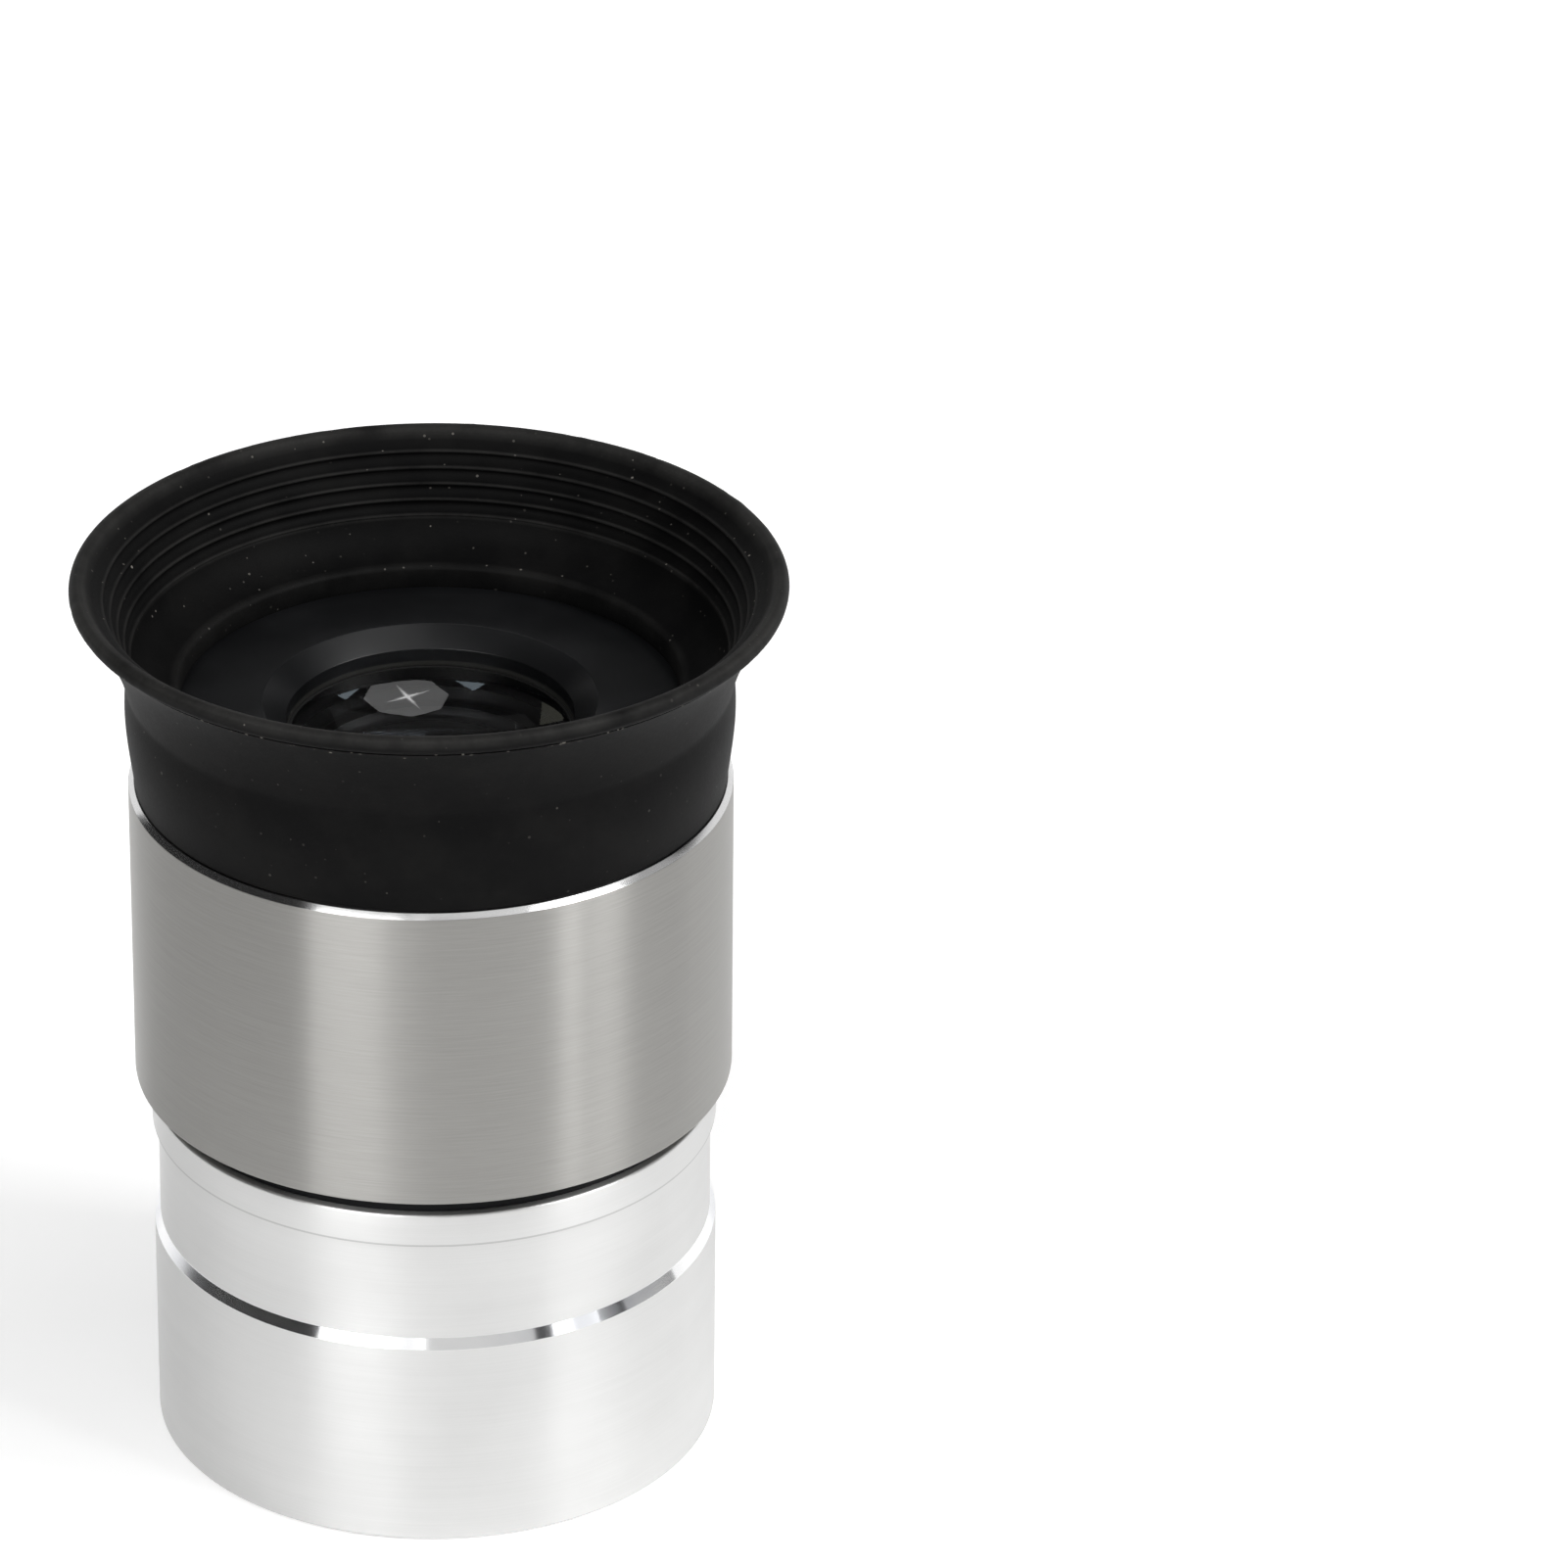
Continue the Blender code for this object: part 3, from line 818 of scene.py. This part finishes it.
def mark_painted_highlights(piece):
    """Note on the mesh where highlights are painted on the rubber: the rim, the rib crests and the inner lip.
    """
    painted_highlight = piece.data.attributes.new("painted_highlight", "FLOAT", "POINT")
    ribs = rib_centres()
    low, high = RIM_HIGHLIGHT_HEIGHTS
    for vert, mark in zip(piece.data.vertices, painted_highlight.data):
        spot = section_spot(vert)
        on_rim = min(1.0, max(0.0, (spot[1] - low) / (high - low)))
        on_rib = min(dist(spot, centre) for centre in ribs) < HIGHLIGHT_REACH * RIB_ROUND
        on_lip = dist(spot, CUP_LIP_CENTRE) < HIGHLIGHT_REACH * CUP_LIP_ROUND
        mark.value = max(on_rim, RIB_HIGHLIGHT_SHARE * on_rib, LIP_HIGHLIGHT_SHARE * on_lip)


def rough_rim(piece, rng):
    """Small nicks and waver along the moulded rim."""
    nicks = [
        (rng.uniform(-pi, pi), rng.uniform(*NICK_WIDTHS), rng.uniform(*NICK_DEPTHS))
        for _ in range(RIM_NICKS)
    ]
    waves = [
        (rng.randint(*WAVE_COUNTS), rng.uniform(0, 2 * pi), rng.uniform(*WAVE_SIZES))
        for _ in range(RIM_WAVES)
    ]
    for vert in piece.data.vertices:
        spot = section_spot(vert)
        near = max(0.0, 1 - dist(spot, WORN_CENTRE) / WORN_REACH)
        if near == 0.0:
            continue
        angle = atan2(vert.co.y, vert.co.x)
        shift = sum(size * sin(k * angle + phase) for k, phase, size in waves)
        for centre, width, depth in nicks:
            gap = (angle - centre + pi) % (2 * pi) - pi
            shift += depth * max(0.0, 1 - (gap / width) ** 2)
        grow = 1 + near * shift / spot[0]
        vert.co.x *= grow
        vert.co.y *= grow
        vert.co.z += WORN_LIFT * near * shift * MM


def build_barrel(metal):
    barrel = put("barrel_shell", turned(barrel_outline()), metal)
    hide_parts("barrel")
    neck = thread(NECK_ROOT, NECK_CREST, *NECK_THREAD, NECK_PITCH)
    neck = put("neck_thread", neck, metal)
    inner = thread(FILTER_MAJOR, FILTER_MINOR, *FILTER_THREAD, FILTER_PITCH)
    inner = put("filter_thread", inner, metal)
    for piece in (barrel, neck, inner):
        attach(piece, "barrel")


def build_seat_ring(dull):
    seat = put("seat_ring_shell", turned(seat_outline()), dull)
    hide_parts("seat_ring")
    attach(seat, "seat_ring")


def build_body(brushed, black):
    sleeve = put("sleeve_shell", turned(sleeve_outline()), brushed)
    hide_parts("body_sleeve")
    housing = put("housing_shell", turned(housing_outline()), black)
    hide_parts("lens_housing")
    for piece in (sleeve, housing):
        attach(piece, "housing")


def build_lenses(glass):
    eye_face = top("eye_flint_lens")
    field_face = bottom("field_flint_lens")
    outlines = {
        "eye_flint_lens": flint_outline(eye_face, 1),
        "eye_crown_lens": crown_outline(eye_face - FLINT_EDGE - CEMENT_GAP, 1),
        "field_crown_lens": crown_outline(field_face + FLINT_EDGE + CEMENT_GAP, -1),
        "field_flint_lens": flint_outline(field_face, -1),
    }
    for node, outline in outlines.items():
        lens = put(node + "_glass", turned(outline, INNER_SIDES), glass)
        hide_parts(node)
        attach(lens, "housing")


def build_eyecup(rubber):
    eyecup = put("eyecup", turned(eyecup_outline(), CUP_SIDES), rubber)
    # Painted highlights on the rim, rib crests and inner lip.
    mark_painted_highlights(eyecup)
    rough_rim(eyecup, random.Random(RIM_SEED))
    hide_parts("eyecup_band", "eyecup_flare")
    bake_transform(eyecup)


def blacken_rings(black):
    """Finish the three hidden rings, whose CAD meshes are shown as they are."""
    for node in ("field_stop", "lens_spacer", "retaining_ring"):
        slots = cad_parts[node].data.materials
        slots.clear()
        slots.append(black)


def build_object():
    black = black_anodised("black_anodised", shine=0.33)
    build_barrel(satin_aluminium())
    build_seat_ring(black_anodised("dull_black", shine=0.06))
    build_body(brushed_metal(), black)
    build_lenses(coated_glass())
    build_eyecup(black_rubber())
    blacken_rings(black)


def toward(azimuth, elevation):
    """Direction from the object: azimuth 0 is toward the camera and grows to the photo's right."""
    a = radians(azimuth)
    e = radians(elevation)
    return Vector((sin(a) * cos(e), -cos(a) * cos(e), sin(e)))


def lamp(name, location, facing, width, height, level):
    """Soft rectangular studio light. Level is how bright its front looks."""
    data = bpy.data.lights.new(name, "AREA")
    data.shape = "RECTANGLE"
    data.size = width
    data.size_y = height
    data.energy = level * pi * width * height
    obj = bpy.data.objects.new(name, data)
    obj.location = location
    obj.rotation_euler = (-facing).to_track_quat("Z", "Y").to_euler()
    bpy.context.collection.objects.link(obj)


def panel(name, start, end, level, elevation=PANEL_ELEVATION, height=PANEL_HEIGHT):
    """Upright light that faces the object and spans a stretch of azimuth, in degrees."""
    aim = toward((start + end) / 2, elevation)
    width = 2 * PANEL_DISTANCE * tan(radians(end - start) / 2)
    location = Vector((0, 0, PANEL_AIM_HEIGHT)) + aim * PANEL_DISTANCE
    lamp(name, location, -aim, width, height, level)


def ceiling(name, left, right, front, back, level):
    """Flat light overhead, with its edges given as shares of its height."""
    centre = Vector(((left + right) / 2, (front + back) / 2, 1.0)) * CEILING_HEIGHT
    size = [CEILING_HEIGHT * (right - left), CEILING_HEIGHT * (back - front)]
    lamp(name, centre, Vector((0, 0, -1)), *size, level)


def seen_in_lens(across, back, distance):
    """Where a light stands that the camera sees at a point of the eye lens's hollow face."""
    face = top("eye_flint_lens") - sag(OUTER_CURVE, EYE_LAND)
    reach = hypot(across, back)
    point = Vector((across, back, face + sag(OUTER_CURVE, reach))) * MM
    normal = Vector((-across, -back, sqrt(OUTER_CURVE ** 2 - reach ** 2))).normalized()
    view = (bpy.context.scene.camera.matrix_world.translation - point).normalized()
    return point + (2 * normal.dot(view) * normal - view) * distance


def points_round(centre, reach, turn, lengths=(1.0,)):
    """Eight points round a centre, whose lengths take turns, for an octagon or a four-pointed star."""
    points = []
    for step in range(8):
        angle = radians(turn + 45 * step)
        length = lengths[step % len(lengths)]
        across = centre[0] + length * reach[0] * cos(angle)
        back = centre[1] + length * reach[1] * sin(angle)
        points.append((across, back))
    return points


def lens_glint(name, corners, layer, tint, level):
    """Small light whose picture in the eye lens has the given corners. A higher layer lies in front."""
    distance = GLINT_DISTANCE - layer * GLINT_GAP
    shape = bmesh.new()
    shape.faces.new([shape.verts.new(seen_in_lens(*corner, distance)) for corner in corners])
    stage(name, shape, light_cloth(name, tint, level))


def build_floor():
    floor = bmesh.new()
    lowered = Matrix.Translation((0, 0, -FLOOR_DROP))
    bmesh.ops.create_circle(floor, cap_ends=True, segments=FLOOR_SIDES, radius=FLOOR_RADIUS, matrix=lowered)
    stage("floor", floor, plain_floor())


def build_backdrop():
    backdrop = bmesh.new()
    start, end = BACKDROP_ENDS
    turns = [start + (end - start) * step / BACKDROP_STEPS for step in range(BACKDROP_STEPS + 1)]
    feet = [toward(turn, 0) * BACKDROP_RADIUS for turn in turns]
    rise = Vector((0, 0, BACKDROP_HEIGHT))
    posts = [(backdrop.verts.new(foot), backdrop.verts.new(foot + rise)) for foot in feet]
    for post, following in zip(posts, posts[1:]):
        backdrop.faces.new((*post, *following[::-1]))
    stage("backdrop", backdrop, white_backdrop(BACKDROP_LEVEL))


def build_lights():
    panel("left_light", -46, -18, 4.0)
    panel("left_edge_light", -18, -5, 1.1)
    panel("front_light", -5, 38, 0.62)
    panel("right_light", 47, 54, 5.2)
    panel("right_fill_light", 54, 66, 1.15)
    panel("right_edge_light", 66, 77.5, 8.0, elevation=38, height=0.95)
    panel("right_side_light", 77.5, 108, 0.46)
    ceiling("front_ceiling", -0.10, 0.76, -0.66, -0.20, 1.0)
    ceiling("left_ceiling", -0.58, -0.10, -0.66, -0.20, 0.62)
    ceiling("right_ceiling", 0.05, 0.95, -0.20, 0.22, 1.2)
    ceiling("back_ceiling", -0.60, 0.60, 0.34, 0.75, 1.0)


def build_glints():
    white = (1.0, 1.0, 1.0)
    cool = (0.75, 0.9, 1.0)
    olive = (1.0, 1.0, 0.84)
    octagon = points_round(SOFTBOX_CENTRE, SOFTBOX_REACH, SOFTBOX_TURN)
    star = points_round(STAR_CENTRE, STAR_REACH, STAR_TURN, STAR_RAYS)
    core = points_round(STAR_CENTRE, CORE_REACH, STAR_TURN, STAR_RAYS)
    lens_glint("softbox", octagon, 0, white, 0.95)
    lens_glint("softbox_star", star, 1, white, 2.6)
    lens_glint("softbox_core", core, 2, white, 6.0)
    lens_glint("far_window", FAR_WINDOW, 0, white, 0.08)
    lens_glint("far_wall", FAR_WALL, 1, olive, 0.27)
    lens_glint("left_flag", LEFT_FLAG, 0, cool, 1.5)
    lens_glint("right_flag", RIGHT_FLAG, 0, cool, 1.5)


def build_studio():
    bpy.context.scene.world = dim_room(ROOM_LEVEL)
    build_floor()
    build_backdrop()
    build_lights()
    build_glints()


def build_camera():
    scene = bpy.context.scene
    scene.view_settings.view_transform = "Standard"
    lens = bpy.data.cameras.new("camera")
    lens.sensor_fit = "HORIZONTAL"
    lens.sensor_width = SENSOR_MM
    lens.lens = FOCAL_PIXELS / IMAGE_SIDE * SENSOR_MM
    lens.clip_start = 0.01
    target = Vector((0, 0, CAMERA_TARGET_HEIGHT * MM))
    out = toward(0, CAMERA_ELEVATION)
    right = Vector((1, 0, 0))
    lift = right.cross(-out)
    ahead = -out + tan(radians(CAMERA_YAW)) * right + tan(radians(CAMERA_PITCH)) * lift
    ahead.normalize()
    level = ahead.cross(Vector((0, 0, 1))).normalized()
    upright = level.cross(ahead)
    c = cos(radians(CAMERA_ROLL))
    s = sin(radians(CAMERA_ROLL))
    across = c * level + s * upright
    above = c * upright - s * level
    turn = Matrix((across, above, -ahead)).transposed()
    camera = bpy.data.objects.new("camera", lens)
    camera.matrix_world = Matrix.Translation(target + out * CAMERA_DISTANCE * MM) @ turn.to_4x4()
    bpy.context.collection.objects.link(camera)
    scene.camera = camera


build_camera()
build_object()
build_studio()
